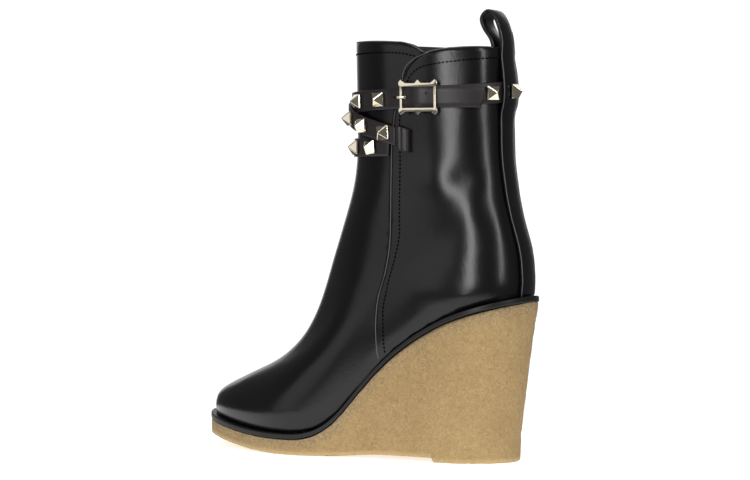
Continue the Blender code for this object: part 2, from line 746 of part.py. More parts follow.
def make_pull_loop():
    foot = level_for(0.0, HEEL_RISE + 2 * GAP)
    belt_low = level_for(0.0, BELT_RISE - BELT_WIDTH / 2 - GAP)
    belt_high = level_for(0.0, BELT_RISE + BELT_WIDTH / 2 + GAP)
    brow = TOP - LOOP_START
    marks = [mix(foot, belt_low - BUMP_RAMP, k / STRIP_ROWS) for k in range(STRIP_ROWS + 1)]
    marks += [belt_low, (belt_low + belt_high) / 2, belt_high, belt_high + BUMP_RAMP, brow]
    rings = []
    for v in marks:
        bump = ease((v - belt_low) / BUMP_RAMP + 1) * ease((belt_high - v) / BUMP_RAMP + 1)
        near = UNDER_BELT + bump * (STRAP + GAP)
        rings.append(strip_ring(v, near, near + STRAP))
    depth = -LEATHER - LOOP_GAP
    inside = [strip_ring(v, depth, depth - STRAP) for v in (brow, TOP - LOOP_END)]
    outer_leg = middle_of(rings[-1])
    inner_leg = middle_of(inside[0])
    bow = rings[-1][0].x - rings[-1][2].x
    points = [middle_of(rings[-2]), outer_leg]
    for ahead, rise in LOOP_SHAPE:
        points.append(Vector((outer_leg.x + ahead * LOOP_REACH, 0, COLLAR_RISE + rise * LOOP_RISE)))
    points += [inner_leg, middle_of(inside[1])]
    path = []
    for k in range(1, len(points) - 2):
        path += [curve_point(points[k - 1:k + 3], step / 3) for step in range(3)]
    path.append(inner_leg)
    for k in range(1, len(path) - 1):
        ahead = (path[k + 1] - path[k - 1]).normalized()
        out = Vector((-ahead.z, 0, ahead.x))
        lean = mix(-bow, bow, k / (len(path) - 1))
        ring = []
        for layer, order in ((-0.5, (-2, -1, 0, 1, 2)), (0.5, (2, 1, 0, -1, -2))):
            for m in order:
                side = Vector((0, m / 4 * LOOP_WIDTH, 0))
                curl = lean * ((m / 2) ** 2 - 0.5)
                ring.append(path[k] + out * (layer * STRAP + curl) + side)
        rings.append(ring)
    return add_object("pull_loop", loft(rings + inside), calf)


def curve_point(points, t):
    """Point at the share t of the smooth curve between the second and third of four points."""
    p0, p1, p2, p3 = points
    return 0.5 * (
        2 * p1 + (p2 - p0) * t + (2 * p0 - 5 * p1 + 4 * p2 - p3) * t * t
        + (3 * p1 - p0 - 3 * p2 + p3) * t ** 3
    )


# Buckle, studs and zip
def seat_on(a, z, height):
    """Frame on the skin: X runs back round the outer side, Y up, Z out of it."""
    v = level_for(a, z)
    along, up = skin_slopes(a, v)
    out = up.cross(along).normalized()
    back = -along.normalized()
    frame = Matrix((back, out.cross(back), out)).transposed().to_4x4()
    return Matrix.Translation(skin(a, v) + height * out) @ frame


def plate(outlines, thick):
    """Flat solid on the XY plane, cut from closed outlines: the rim first, then the holes."""
    curve = bpy.data.curves.new("outline", "CURVE")
    curve.dimensions = "2D"
    curve.fill_mode = "BOTH"
    curve.extrude = thick / 2
    for outline in outlines:
        spline = curve.splines.new("POLY")
        spline.points.add(len(outline) - 1)
        for point, (x, y) in zip(spline.points, outline):
            point.co = (x, y, 0, 1)
        spline.use_cyclic_u = True
    blank = bpy.data.objects.new("outline", curve)
    mesh = bpy.data.meshes.new_from_object(blank)
    bm = bmesh.new()
    bm.from_mesh(mesh)
    bpy.data.meshes.remove(mesh)
    bpy.data.objects.remove(blank)
    bmesh.ops.remove_doubles(bm, verts=bm.verts, dist=MERGE)
    bmesh.ops.translate(bm, vec=(0, 0, thick / 2), verts=bm.verts)
    return bm


def make_buckle():
    """Flat frame with a point at each corner and at the middle of its long bars, and a prong."""
    a = share_over(BUCKLE_SPOT, BELT_RISE)
    over_tail = UNDER_BELT + 2 * STRAP + 2 * GAP
    half_x, half_y = BUCKLE_LENGTH / 2, BUCKLE_HEIGHT / 2
    side_x, in_y = half_x - BUCKLE_INSET, half_y - BUCKLE_BAR
    in_x = side_x - BUCKLE_SIDE
    edge = [
        (across * half_x + bars_x * BUCKLE_BAR, up * half_y + bars_y * BUCKLE_BAR)
        for across, bars_x, up, bars_y in BUCKLE_EDGE
    ]
    edge = [(side_x, -in_y), *edge, (-side_x, -in_y)]
    edge += [(-x, -y) for x, y in edge]
    opening = [(in_x, -in_y), (in_x, in_y), (-in_x, in_y), (-in_x, -in_y)]
    place = seat_on(a, belt_middle(a), over_tail - in_x ** 2 * BUCKLE_BOW)
    add_object("buckle_frame", plate((edge, opening), BUCKLE_THICK), gilt, place)
    run = run_at(a, BELT_RISE)
    half = PRONG / 2
    rings = []
    for ahead, lift in PRONG_LINE:
        share = a + ahead * half_x / run
        seat = seat_on(share, belt_middle(a), over_tail + lift * (BUCKLE_THICK + GAP))
        corners = ((-half, 0), (half, 0), (half, PRONG), (-half, PRONG))
        rings.append([seat @ Vector((0, w, h)) for w, h in corners])
    add_object("buckle_prong", loft(rings), gilt)


def stud_mesh():
    """Square pyramid on a thin square edge."""
    bm = bmesh.new()
    turn = Matrix.Rotation(math.radians(45), 4, "Z")
    bmesh.ops.create_cone(
        bm, cap_ends=True, segments=4, radius1=STUD / math.sqrt(2), radius2=0,
        depth=STUD_RISE - STUD_EDGE, matrix=turn,
    )
    bmesh.ops.remove_doubles(bm, verts=bm.verts, dist=MERGE)
    base = [face for face in bm.faces if len(face.verts) == 4]
    drawn = bmesh.ops.extrude_face_region(bm, geom=base)["geom"]
    low = [part for part in drawn if isinstance(part, bmesh.types.BMVert)]
    bmesh.ops.translate(bm, vec=(0, 0, -STUD_EDGE), verts=low)
    bmesh.ops.delete(bm, geom=[face for face in base if face.is_valid], context="FACES_ONLY")
    bmesh.ops.translate(bm, vec=(0, 0, (STUD_RISE + STUD_EDGE) / 2), verts=bm.verts)
    return bm


def make_studs():
    """Pyramid studs along the belt and the two bands; the rearmost sits on the pull strip."""
    spots = []
    for a in belt_studs():
        lift = STRAP + GAP if a == 0 else 0.0
        spots.append((a, belt_middle(a), UNDER_BELT + STRAP + lift))
    for share in CROSS_STUDS:
        a = mix(*cross_ends(), share)
        spots.append((a, cross_middle(a), cross_offset(a) + STRAP))
    for share in LOWER_STUDS:
        spots.append((mix(*lower_ends(), share), LOWER_RISE, GAP + STRAP))
    for k, (a, z, height) in enumerate(spots):
        add_object(f"stud_{k + 1:02d}", stud_mesh(), gilt, seat_on(a, z, height + GAP))


def make_zip():
    """Zip beside the rear panel's edge on the inner side, closed, with its slider at the top."""
    rings = []
    foot = level_for(1 - seam_over(ZIP_FOOT), ZIP_FOOT)
    shell_rows = [row / LEVEL_STEPS for row in range(TOP * LEVEL_STEPS)]
    marks = [foot] + [v for v in shell_rows if v > foot] + [TOP - ZIP_HEAD]
    for v in marks:
        seam = 1 - seam_share(v)
        run = skin_slopes(seam, v)[0].length
        back = seam - (STEP_RUN / 2 + GAP) / run
        front = back - ZIP_WIDTH / run
        rings.append([
            raised(front, v, GAP), raised(back, v, GAP),
            raised(back, v, GAP + ZIP_THICK), raised(front, v, GAP + ZIP_THICK),
        ])
    add_object("zip_chain", loft(rings), metal_teeth)
    slot = 1 - seam_over(SLIDER_RISE)
    a = slot - (STEP_RUN / 2 + GAP + ZIP_WIDTH / 2) / run_at(slot, SLIDER_RISE)
    seat = seat_on(a, SLIDER_RISE, 2 * GAP + ZIP_THICK)
    add_object("zip_slider", loft(slider_rings()), gilt, seat)
    hinge = Matrix.Translation((0, (SLIDER_LENGTH - EAR_LENGTH) / 2, SLIDER_THICK + PULL_LIFT))
    pivot = bpy.data.objects.new("pull_axis", None)
    pivot.matrix_world = seat @ hinge
    boot.objects.link(pivot)
    pull = add_object("zip_pull", pull_mesh(), gilt)
    pull.parent = pivot


def slider_rings():
    """Side outlines of the slider, across its width, with an ear at each side of its upper end."""
    half_x, half_y = SLIDER_WIDTH / 2, SLIDER_LENGTH / 2
    across = ((half_x, EAR_RISE), (half_x - EAR_WIDTH, EAR_RISE), (half_x - EAR_WIDTH - EAR_SLOPE, 0))
    stations = [(-x, ear) for x, ear in across] + list(reversed(across))
    rings = []
    for x, ear in stations:
        top = SLIDER_THICK + ear
        rings.append([
            Vector((x, -half_y, 0)), Vector((x, half_y, 0)), Vector((x, half_y, SLIDER_THICK)),
            Vector((x, half_y - EAR_SLOPE, top)), Vector((x, half_y - EAR_LENGTH, top)),
            Vector((x, half_y - EAR_LENGTH - EAR_SLOPE, SLIDER_THICK)), Vector((x, -half_y, SLIDER_THICK)),
        ])
    return rings


def pull_mesh():
    """Pull that hangs from its hinge line: a flat ring on a narrow neck."""
    half_x = PULL_WIDTH / 2
    edge = [(across * half_x, -down * PULL_LENGTH) for across, down in PULL_EDGE]
    edge += [(-x, y) for x, y in reversed(edge)]
    wide, middle, tall = PULL_HOLE
    hole = []
    for k in range(HOLE_CORNERS):
        turn = 2 * math.pi * k / HOLE_CORNERS
        x = wide * half_x * math.cos(turn)
        hole.append((x, -(middle + tall * math.sin(turn)) * PULL_LENGTH))
    bm = plate((edge, hole), PULL_THICK)
    bmesh.ops.translate(bm, vec=(0, 0, -PULL_THICK / 2), verts=bm.verts)
    return bm


boot = bpy.data.collections.new("wedge_ankle_boot")
bpy.context.scene.collection.children.link(boot)

calf = make_material("calf_leather", (0.012, 0.011, 0.012), 0.35)
crepe = make_material("crepe_rubber", (0.48, 0.34, 0.17), 0.75)
welt_rubber = make_material("welt_rubber", (0.010, 0.010, 0.011), 0.55)
lining = make_material("lining_leather", (0.030, 0.026, 0.024), 0.7)
gilt = make_material("pale_gilt_metal", (0.80, 0.70, 0.52), 0.22, 1.0)
metal_teeth = make_material("zip_teeth_metal", (0.55, 0.47, 0.33), 0.35, 1.0)

make_upper()
make_midsole()
make_insole()
make_sole()
make_pull_loop()
make_belt()
make_lower_band()
make_cross_band()
make_buckle()
make_studs()
make_zip()
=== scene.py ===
import math

import bmesh
import bpy
from mathutils import Matrix, Vector, noise
from mathutils.bvhtree import BVHTree


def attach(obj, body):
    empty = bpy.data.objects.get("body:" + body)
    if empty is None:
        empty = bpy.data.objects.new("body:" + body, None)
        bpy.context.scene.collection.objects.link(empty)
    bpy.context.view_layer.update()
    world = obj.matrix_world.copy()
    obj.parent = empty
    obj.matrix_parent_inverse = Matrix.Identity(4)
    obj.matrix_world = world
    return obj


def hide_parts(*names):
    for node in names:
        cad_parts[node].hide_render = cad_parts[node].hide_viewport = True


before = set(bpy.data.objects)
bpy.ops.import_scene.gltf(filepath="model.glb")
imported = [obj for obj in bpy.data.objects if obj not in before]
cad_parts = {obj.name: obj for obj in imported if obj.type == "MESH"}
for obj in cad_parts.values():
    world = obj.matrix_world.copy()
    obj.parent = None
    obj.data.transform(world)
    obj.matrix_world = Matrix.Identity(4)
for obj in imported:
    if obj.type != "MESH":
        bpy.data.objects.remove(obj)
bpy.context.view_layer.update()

# Camera: at ankle height on the outer side, turned 28 degrees to the back of the boot, with the
# long lens of a product photograph. The shift only centres the boot in the picture.
CAMERA_PLACE = Vector((-0.6192, 1.2534, 0.1604))
LENS_MM = 111.55
PICTURE_WIDTH = 750
SHIFT_PIXELS = -43
camera_turn = math.radians(28)
camera_pitch = math.radians(1.16)
camera_roll = math.radians(0.5)
level_right = Vector((-math.cos(camera_turn), -math.sin(camera_turn), 0))
ahead = Vector((math.sin(camera_turn), -math.cos(camera_turn), 0)) * math.cos(camera_pitch)
ahead.z = -math.sin(camera_pitch)
level_up = level_right.cross(ahead)
right = level_right * math.cos(camera_roll) + level_up * math.sin(camera_roll)
up = level_up * math.cos(camera_roll) - level_right * math.sin(camera_roll)
camera_turned = Matrix((right, up, -ahead)).transposed().to_4x4()
camera = bpy.data.objects.new("camera", bpy.data.cameras.new("camera"))
camera.matrix_world = Matrix.Translation(CAMERA_PLACE) @ camera_turned
camera.data.sensor_width = 36
camera.data.lens = LENS_MM
camera.data.shift_x = SHIFT_PIXELS / PICTURE_WIDTH
camera.data.clip_end = 50
bpy.context.scene.collection.objects.link(camera)
bpy.context.scene.camera = camera


# Studio: a lit white table in a white room, with tall strip lights that draw the long highlights
# down the leather. The room is dim in reflections, as with the black cards of a photographer.
def linear(colour):
    """A colour given as sRGB hex digits, in linear light."""
    values = [int(colour[k:k + 2], 16) / 255 for k in (0, 2, 4)]
    return tuple(v / 12.92 if v < 0.04045 else ((v + 0.055) / 1.055) ** 2.4 for v in values)


def node(tree, kind, settings=None, values=None, links=None):
    """Adds a node with its settings, its sockets' values and the sockets that feed it."""
    new = tree.nodes.new(kind)
    for key, value in (settings or {}).items():
        setattr(new, key, value)
    for key, value in (values or {}).items():
        new.inputs[key].default_value = value
    for key, source in (links or {}).items():
        tree.links.new(source, new.inputs[key])
    return new


def plain_material(name, colour, roughness, values=None):
    """A principled material of one colour, with its tree and its shader."""
    material = bpy.data.materials.new(name)
    material.use_nodes = True
    tree = material.node_tree
    shader = tree.nodes["Principled BSDF"]
    shader.inputs["Base Color"].default_value = (*linear(colour), 1)
    shader.inputs["Roughness"].default_value = roughness
    for key, value in (values or {}).items():
        shader.inputs[key].default_value = value
    return material, tree, shader


def strip_light(name, place, aim, size, power):
    """A rectangular light, turned to its aim, that the camera doesn't see."""
    lamp = bpy.data.lights.new(name, "AREA")
    lamp.shape = "RECTANGLE"
    lamp.size, lamp.size_y = size
    lamp.energy = power
    light = bpy.data.objects.new(name, lamp)
    light.location = place
    light.rotation_euler = (Vector(aim) - Vector(place)).to_track_quat("-Z", "Y").to_euler()
    light.visible_camera = False
    bpy.context.scene.collection.objects.link(light)


TABLE_RADIUS = 0.3
TABLE_MIDDLE = (0.08, 0, 0)
floor_mesh = bmesh.new()
bmesh.ops.create_circle(floor_mesh, cap_ends=True, segments=96, radius=TABLE_RADIUS)
floor_data = bpy.data.meshes.new("floor")
floor_mesh.to_mesh(floor_data)
floor_mesh.free()
floor = bpy.data.objects.new("floor", floor_data)
floor.location = TABLE_MIDDLE
bpy.context.scene.collection.objects.link(floor)
table_paint, _, _ = plain_material(
    "white_acrylic_table", "f2f2f2", 0.9,
    {"Emission Color": (1, 1, 1, 1), "Emission Strength": 0.6, "Specular IOR Level": 0.0},
)
floor_data.materials.append(table_paint)

# Brightness of the room in reflections, on matt surfaces and as the backdrop
REFLECTED_LEVEL = 0.12
SURFACE_LEVEL = 0.42
BACKDROP_LEVEL = 1.12
world = bpy.data.worlds.new("studio")
world.use_nodes = True
room = world.node_tree
rays = node(room, "ShaderNodeLightPath")
lit = node(
    room, "ShaderNodeMath", {"operation": "MULTIPLY_ADD"},
    {1: SURFACE_LEVEL - REFLECTED_LEVEL, 2: REFLECTED_LEVEL},
    {0: rays.outputs["Is Diffuse Ray"]},
)
seen = node(
    room, "ShaderNodeMath", {"operation": "MULTIPLY_ADD"}, {1: BACKDROP_LEVEL - REFLECTED_LEVEL},
    {0: rays.outputs["Is Camera Ray"], 2: lit.outputs[0]},
)
room.nodes["Background"].inputs["Color"].default_value = (1, 1, 1, 1)
room.links.new(seen.outputs[0], room.nodes["Background"].inputs["Strength"])
bpy.context.scene.world = world
bpy.context.scene.view_settings.view_transform = "Standard"

strip_light("overhead", (0.1, 0.2, 1.6), (0.05, 0, 0.1), (1.2, 1.2), 6.5)
strip_light("back_strip", (-1.48, 0.33, 0.85), (0, 0, 0.2), (0.15, 1.6), 8.5)
strip_light("side_softbox", (-0.42, 1.48, 0.5), (0, 0, 0.15), (0.42, 1.1), 11.5)
strip_light("front_card", (0.80, 1.40, 0.47), (0, 0, 0.2), (1.0, 0.95), 2.3)
strip_light("toe_card", (1.0, -1.1, 0.5), (0.1, 0, 0.1), (0.7, 1.2), 2.4)
strip_light("inner_card", (0.30, -1.50, 0.5), (0, 0, 0.2), (0.7, 0.9), 2.2)


# Upper: the boot's body of black calf leather, cut as a front panel and a rear panel that
# overlaps it, lasted over the foot's form and stitched along the overlap and the collar.
MERGE_GAP = 0.00001


def quad_mesh(name, short=0.0):
    """A copy of a CAD node's mesh, merged and turned back from triangles to quads.

    Edges up to the short length are kept, and stay marked as sharp.
    """
    bm = bmesh.new()
    bm.from_mesh(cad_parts[name].data)
    bm.edges.layers.float.new("crease_edge")
    bmesh.ops.remove_doubles(bm, verts=bm.verts, dist=MERGE_GAP)
    for edge in bm.edges:
        edge.smooth = edge.calc_length() > short
    bmesh.ops.join_triangles(
        bm, faces=bm.faces, cmp_sharp=True, angle_face_threshold=math.radians(60),
        angle_shape_threshold=math.pi,
    )
    return bm


def crease_edges(bm, edges, amount):
    """Sets how sharp edges stay when the mesh is subdivided, from 0 to 1."""
    layer = bm.edges.layers.float["crease_edge"]
    for edge in edges:
        edge[layer] = amount


def crease_corners(bm, degrees, amount):
    """Creases the edges at which the surface turns by more than an angle."""
    limit = math.radians(degrees)
    crease_edges(bm, [e for e in bm.edges if e.calc_face_angle(0) > limit], amount)


def made_real(rough, name, materials=()):
    """A plain object of what the modifiers of an object make; the object itself goes."""
    depsgraph = bpy.context.evaluated_depsgraph_get()
    made = bpy.data.meshes.new_from_object(rough.evaluated_get(depsgraph))
    bpy.data.objects.remove(rough)
    piece = bpy.data.objects.new(name, made)
    bpy.context.scene.collection.objects.link(piece)
    if materials and not made.materials:
        for material in materials:
            made.materials.append(material)
    return piece


def finished(name, bm, materials, levels=0, bevel=0.0, bevel_steps=2, smooth=40, cutters=()):
    """A plain object of the mesh with its bevel, its subdivision and its holes made real."""
    mesh = bpy.data.meshes.new(name)
    bm.to_mesh(mesh)
    bm.free()
    for material in materials:
        mesh.materials.append(material)
    rough = bpy.data.objects.new(name, mesh)
    bpy.context.scene.collection.objects.link(rough)
    if bevel:
        rounding = rough.modifiers.new("rounding", "BEVEL")
        rounding.width = bevel
        rounding.segments = bevel_steps
        rounding.limit_method = "ANGLE"
        rounding.angle_limit = math.radians(25)
    if levels:
        finer = rough.modifiers.new("finer", "SUBSURF")
        finer.levels = finer.render_levels = levels
    for cutter in cutters:
        hole = rough.modifiers.new("hole", "BOOLEAN")
        hole.operation = "DIFFERENCE"
        hole.object = cutter
    piece = made_real(rough, name)
    for cutter in cutters:
        bpy.data.objects.remove(cutter)
    piece.data.shade_smooth()
    piece.data.set_sharp_from_angle(angle=math.radians(smooth))
    return piece


def place_piece(piece, nodes=(), body="boot"):
    """Hides the CAD nodes that a piece stands for, and gives the piece its body."""
    if nodes:
        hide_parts(*nodes)
    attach(piece, body)


def reshape(piece, move):
    """Moves each vertex along its normal by what move gives for its place and its normal."""
    mesh = piece.data
    moved = [v.co + v.normal * move(v.co, v.normal) for v in mesh.vertices]
    for vert, place in zip(mesh.vertices, moved):
        vert.co = place
    mesh.update()


def surface_of(piece):
    """Search tree of a piece's surface."""
    return BVHTree.FromPolygons(
        [v.co for v in piece.data.vertices], [tuple(p.vertices) for p in piece.data.polygons],
    )


def object_noise(tree, values):
    """Noise over the object's own coordinates, with its scale in grains a metre."""
    where = node(tree, "ShaderNodeTexCoord")
    cloud = node(tree, "ShaderNodeTexNoise", None, values, {"Vector": where.outputs["Object"]})
    return cloud.outputs["Fac"]


def relief(tree, height, strength, depth, under=None):
    """The normals of a relief, over those of another one where that is given."""
    links = {"Height": height}
    if under is not None:
        links["Normal"] = under
    bump = node(tree, "ShaderNodeBump", None, {"Strength": strength, "Distance": depth}, links)
    return bump.outputs["Normal"]


def ranged(tree, value, start, end, first, last):
    """A value that runs from first to last while another one goes from start to end."""
    scaled = node(
        tree, "ShaderNodeMapRange", None,
        {"From Min": start, "From Max": end, "To Min": first, "To Max": last}, {"Value": value},
    )
    return scaled.outputs["Result"]


def calf_leather(name, colour, roughness, pore_depth):
    """Calf leather with its pores, about 0.9 mm apart, and its fine drawn grain."""
    material, tree, shader = plain_material(name, colour, roughness, {"Specular IOR Level": 0.42})
    where = node(tree, "ShaderNodeTexCoord")
    pores = node(
        tree, "ShaderNodeTexVoronoi", {"feature": "SMOOTH_F1"},
        {"Scale": 1100.0, "Smoothness": 0.6}, {"Vector": where.outputs["Object"]},
    )
    drawn = object_noise(tree, {"Scale": 240.0, "Detail": 5.0, "Roughness": 0.65})
    pore_relief = relief(tree, pores.outputs["Distance"], 0.4, pore_depth)
    grain_relief = relief(tree, drawn, 0.3, 0.0002, under=pore_relief)
    tree.links.new(grain_relief, shader.inputs["Normal"])
    return material


def grained(name, colour, roughness, scale, depth, values=None):
    """A material with a fine grain in its relief and in its shine."""
    material, tree, shader = plain_material(name, colour, roughness, values)
    fine = object_noise(tree, {"Scale": scale, "Detail": 3.0})
    shine = ranged(tree, fine, 0.3, 0.7, 0.8 * roughness, 1.2 * roughness)
    tree.links.new(shine, shader.inputs["Roughness"])
    tree.links.new(relief(tree, fine, 0.3, depth), shader.inputs["Normal"])
    return material


# Body leather, dyed black and polished to a soft shine
leather = calf_leather("polished_black_calf", "0b0a0c", 0.24, 0.00008)

# Lining: thin black pigskin, matt, with a soft grain
lining = grained("black_lining_leather", "222324", 0.7, 700.0, 0.0001, {"Specular IOR Level": 0.3})

# The overlap's step and the rims stay crisp when the mesh is subdivided.
STEP_EDGE = 0.0016
upper_mesh = quad_mesh("upper", short=STEP_EDGE)
step_edges = [e for e in upper_mesh.edges if not e.smooth]
step_sides = set()
for edge in step_edges:
    for face in edge.link_faces:
        step_sides.update(e for e in face.edges if e.smooth and e.calc_length() > 0.003)
crease_edges(upper_mesh, step_sides, 0.9)
crease_corners(upper_mesh, 65, 0.6)
for edge in upper_mesh.edges:
    edge.smooth = True
upper = finished("upper_leather", upper_mesh, [leather, lining], levels=2, smooth=50)

# Soft dents and swellings of the worked leather: place, reach sideways and reach upwards in
# metres, and height in mm. They lie on the shaft and the heel, behind DENTS_FRONT.
DENTS = (
    (-0.0161, 0.0146, 0.1401, 0.008, 0.015, 1.0),
    (-0.0010, 0.0260, 0.1480, 0.009, 0.012, 0.5),
    (0.0190, 0.0335, 0.1040, 0.015, 0.013, 1.8),
    (-0.0030, 0.0200, 0.2340, 0.010, 0.014, 0.9),
    (0.0021, 0.0232, 0.2086, 0.009, 0.014, 0.5),
    (0.0210, 0.0310, 0.1700, 0.012, 0.010, 1.0),
    (0.0040, 0.0250, 0.1680, 0.010, 0.009, -1.0),
    (0.0060, 0.0300, 0.1380, 0.012, 0.012, -1.1),
)
DENTS_FRONT = 0.06


def dent_height(place, normal):
    """Height of the dents together on the outer face of either side."""
    height = 0.0
    for x, y, z, side, tall, lift in DENTS:
        if normal.y * place.y > 0 and place.x < DENTS_FRONT:
            across = math.hypot(place.x - x, abs(place.y) - y)
            height += lift / 1000 * math.exp(-(across / side) ** 2 - ((place.z - z) / tall) ** 2)
    return height


reshape(upper, dent_height)
skin = surface_of(upper)
# The inner faces are lining: near the collar those that look at the shaft's middle, and lower
# down those that have another wall of the boot in front of them.
SHAFT_MIDDLE = Vector((0.037, 0, 0))
COLLAR_ZONE = 0.2
WALL_REACH = 0.15
for face in upper.data.polygons:
    outwards = Vector((face.center.x - SHAFT_MIDDLE.x, face.center.y, 0)).normalized()
    turned_in = face.center.z > COLLAR_ZONE and face.normal.dot(outwards) < -0.4
    start = face.center + face.normal * 0.0005
    if turned_in or skin.ray_cast(start, face.normal, WALL_REACH)[0]:
        face.material_index = 1
place_piece(upper, ["upper"])

# Insole: thin foam under a sock of the same lining leather, laid in on the slope of the wedge
insole_mesh = quad_mesh("insole")
crease_corners(insole_mesh, 60, 0.5)
insole = finished("insole_sock", insole_mesh, [lining], levels=2, smooth=50)
place_piece(insole, ["insole"])

# Stitching: black waxed thread in rows along the collar and the rear panel's edge, sunk in the
# leather. Its near-black colour is also painted shade, standing in for the groove the stitches
# press in, so it reads as dark dashes with a fibrous, dull surface
thread_and_groove_shade = grained(
    "black_thread_painted_groove_shade", "030303", 0.8, 2500.0, 0.0001, {"Specular IOR Level": 0.05},
)
THREAD_LIFT = 0.00002


def stitch_tool():
    """Node group that lays stitches of one size along the polyline it is given."""
    tree = bpy.data.node_groups.new("stitches", "GeometryNodeTree")
    tree.interface.new_socket("Geometry", in_out="INPUT", socket_type="NodeSocketGeometry")
    for name in ("Pitch", "Length", "Thickness"):
        tree.interface.new_socket(name, in_out="INPUT", socket_type="NodeSocketFloat")
    tree.interface.new_socket("Material", in_out="INPUT", socket_type="NodeSocketMaterial")
    tree.interface.new_socket("Geometry", in_out="OUTPUT", socket_type="NodeSocketGeometry")
    given = node(tree, "NodeGroupInput").outputs
    line = node(tree, "GeometryNodeMeshToCurve", None, None, {"Mesh": given["Geometry"]})
    spots = node(
        tree, "GeometryNodeCurveToPoints", {"mode": "LENGTH"}, None,
        {"Curve": line.outputs["Curve"], "Length": given["Pitch"]},
    )
    turn = node(
        tree, "FunctionNodeAlignRotationToVector", {"axis": "Z"}, None,
        {"Vector": spots.outputs["Tangent"]},
    )
    bead = node(
        tree, "GeometryNodeMeshUVSphere", None, {"Segments": 6, "Rings": 4, "Radius": 0.5},
    )
    size = node(
        tree, "ShaderNodeCombineXYZ", None, None,
        {"X": given["Thickness"], "Y": given["Thickness"], "Z": given["Length"]},
    )
    laid = node(
        tree, "GeometryNodeInstanceOnPoints", None, None,
        {
            "Points": spots.outputs["Points"], "Instance": bead.outputs["Mesh"],
            "Rotation": turn.outputs["Rotation"], "Scale": size.outputs["Vector"],
        },
    )
    real = node(
        tree, "GeometryNodeRealizeInstances", None, None, {"Geometry": laid.outputs["Instances"]},
    )
    dyed = node(
        tree, "GeometryNodeSetMaterial", None, None,
        {"Geometry": real.outputs["Geometry"], "Material": given["Material"]},
    )
    node(tree, "NodeGroupOutput", None, None, {"Geometry": dyed.outputs["Geometry"]})
    return tree


STITCHES = stitch_tool()


def both_sides(row):
    """A row of places on the outer side, and its mirror image on the inner side."""
    return [[(x, side * y, z) for x, y, z in row] for side in (1, -1)]


def smooth_line(points, steps=8):
    """Points of a smooth curve through the given ones."""
    points = [Vector(p) for p in points]
    ends = [2 * points[0] - points[1], *points, 2 * points[-1] - points[-2]]
    line = []
    for p0, p1, p2, p3 in zip(ends, ends[1:], ends[2:], ends[3:]):
        for k in range(steps):
            t = k / steps
            line.append(0.5 * (
                2 * p1 + (p2 - p0) * t + (2 * p0 - 5 * p1 + 4 * p2 - p3) * t * t
                + (3 * p1 - p0 - 3 * p2 + p3) * t ** 3
            ))
    return line + [points[-1]]


def snapped(line, surface, lift):
    """The line laid on a surface, at a height over it."""
    laid = []
    for point in line:
        spot, normal, _, _ = surface.find_nearest(point)
        laid.append(spot + normal * lift)
    return laid


def sew(name, lines, material, pitch=0.0024, length=0.0019, thickness=0.0011):
    """A piece of stitches along lines of points."""
    mesh = bpy.data.meshes.new(name)
    verts, edges = [], []
    for line in lines:
        start = len(verts)
        verts += line
        edges += [(start + k, start + k + 1) for k in range(len(line) - 1)]
    mesh.from_pydata(verts, edges, [])
    rough = bpy.data.objects.new(name, mesh)
    bpy.context.scene.collection.objects.link(rough)
    sewing = rough.modifiers.new("stitches", "NODES")
    sewing.node_group = STITCHES
    given = {s.name: s.identifier for s in STITCHES.interface.items_tree if s.in_out == "INPUT"}
    sewing[given["Pitch"]] = pitch
    sewing[given["Length"]] = length
    sewing[given["Thickness"]] = thickness
    sewing[given["Material"]] = material
    piece = made_real(rough, name, [material])
    piece.data.shade_smooth()
    return piece


# Rear panel's row, from the pull strip along the collar and down beside the overlap
PANEL_ROW = (
    (-0.0090, 0.0102, 0.2410), (-0.0029, 0.0194, 0.2402), (0.0087, 0.0278, 0.2387),
    (0.0169, 0.0314, 0.2375), (0.0252, 0.0334, 0.2360), (0.0312, 0.0334, 0.2335),
    (0.0366, 0.0332, 0.2282), (0.0401, 0.0329, 0.2205), (0.0420, 0.0324, 0.2110),
    (0.0428, 0.0319, 0.2009), (0.0428, 0.0314, 0.1890), (0.0426, 0.0313, 0.1776),
    (0.0425, 0.0317, 0.1621), (0.0422, 0.0323, 0.1472), (0.0421, 0.0327, 0.1346),
    (0.0449, 0.0329, 0.1208), (0.0484, 0.0332, 0.1088), (0.0505, 0.0334, 0.0991),
    (0.0520, 0.0337, 0.0913), (0.0520, 0.0337, 0.0781), (0.0519, 0.0322, 0.0654),
)
# Front panel's row under the collar, from under the rear panel to the middle of the front
FRONT_ROW = (
    (0.0331, 0.0337, 0.2418), (0.0406, 0.0337, 0.2434), (0.0509, 0.0334, 0.2442),
    (0.0628, 0.0306, 0.2444), (0.0768, 0.0232, 0.2445), (0.0858, 0.0108, 0.2446),
    (0.0885, 0.0000, 0.2446),
)
panel_rows = [
    snapped(smooth_line(row), skin, THREAD_LIFT)
    for row in both_sides(PANEL_ROW) + both_sides(FRONT_ROW)
]
place_piece(sew("panel_stitches", panel_rows, thread_and_groove_shade))

# Cut edges: the panels' edges are turned in over a thin cord, so they draw a fine pale line along
# the collar, the overlap and the pull strip. The cord's pale grey colour is a painted highlight,
# added to the light its round form catches.
edge_highlight_paint = grained("pale_edge_painted_highlight", "504e53", 0.4, 900.0, 0.00003)
CORD_LIFT = -0.0001


def edge_cord(name, lines, radius=0.00036):
    """A thin round edge along lines of points, in the pale grey of the painted highlight."""
    curve = bpy.data.curves.new(name, "CURVE")
    curve.dimensions = "3D"
    curve.bevel_depth = radius
    curve.bevel_resolution = 2
    curve.use_fill_caps = True
    for line in lines:
        spline = curve.splines.new("POLY")
        spline.points.add(len(line) - 1)
        for point, place in zip(spline.points, line):
            point.co = (*place, 1)
    rough = bpy.data.objects.new(name, curve)
    bpy.context.scene.collection.objects.link(rough)
    piece = made_real(rough, name, [edge_highlight_paint])
    piece.data.shade_smooth()
    return piece


